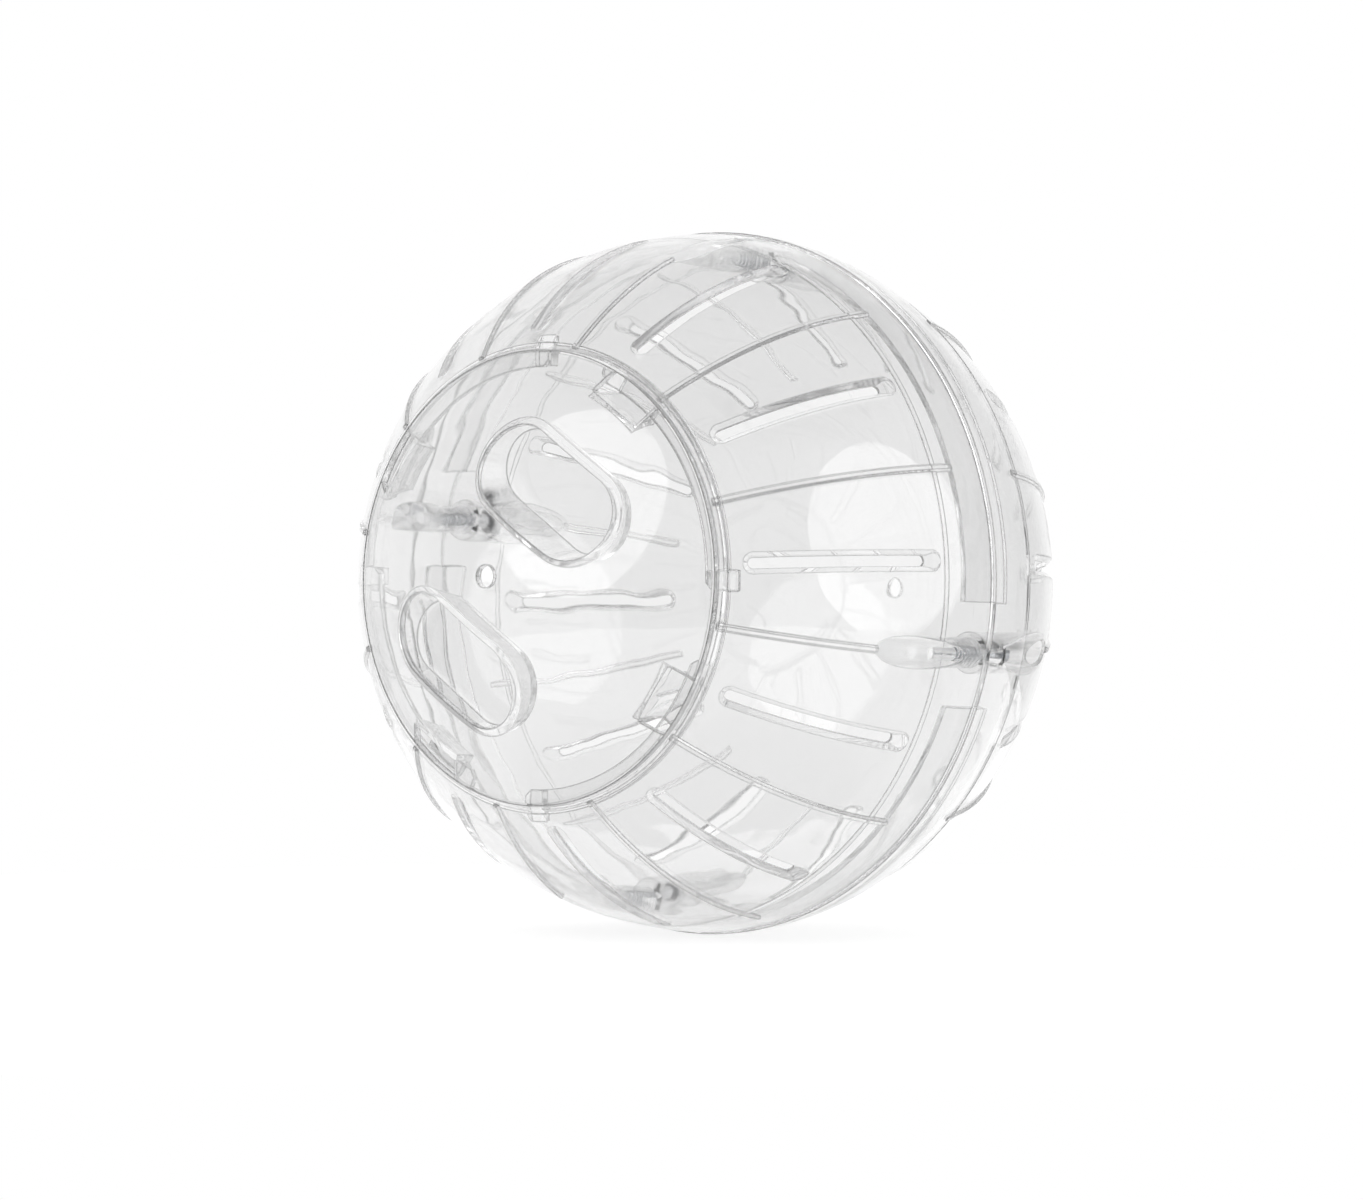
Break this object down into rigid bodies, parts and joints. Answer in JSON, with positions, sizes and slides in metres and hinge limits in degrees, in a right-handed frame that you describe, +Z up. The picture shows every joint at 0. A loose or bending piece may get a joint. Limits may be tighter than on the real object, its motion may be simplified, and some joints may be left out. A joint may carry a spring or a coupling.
{
  "type": "hamster exercise ball",
  "caption": "Clear hollow plastic exercise ball for a small pet, with slotted half shells screwed together and a round twist-lock door with two finger recesses.",
  "frame": {"origin": "the ball's centre, midway between the poles, 1.6 mm behind the plane of the seam between the half shells", "axes": "-Y out of the door's pole, +Y out of the rear pole, +Z up, +X to the right as seen from the door"},
  "size_m": [0.1412, 0.138, 0.1412],
  "materials": {
    "shell_plastic": "clear colourless moulded polystyrene, polished",
    "door_plastic": "clear colourless moulded polystyrene, polished",
    "screw_steel": "bright zinc-plated steel"
  },
  "bodies": {
    "ball": {"front_shell": "shell_plastic", "rear_shell": "shell_plastic", "screw_right": "screw_steel", "screw_top": "screw_steel", "screw_left": "screw_steel", "screw_bottom": "screw_steel"},
    "door": {"door": "door_plastic"}
  },
  "joints": [
    {"name": "door_twist", "type": "hinge", "parent": "ball", "child": "door", "pos_m": [0, 0, 0], "axis": [0, -1, 0], "range_deg": [-44, 23]}
  ]
}
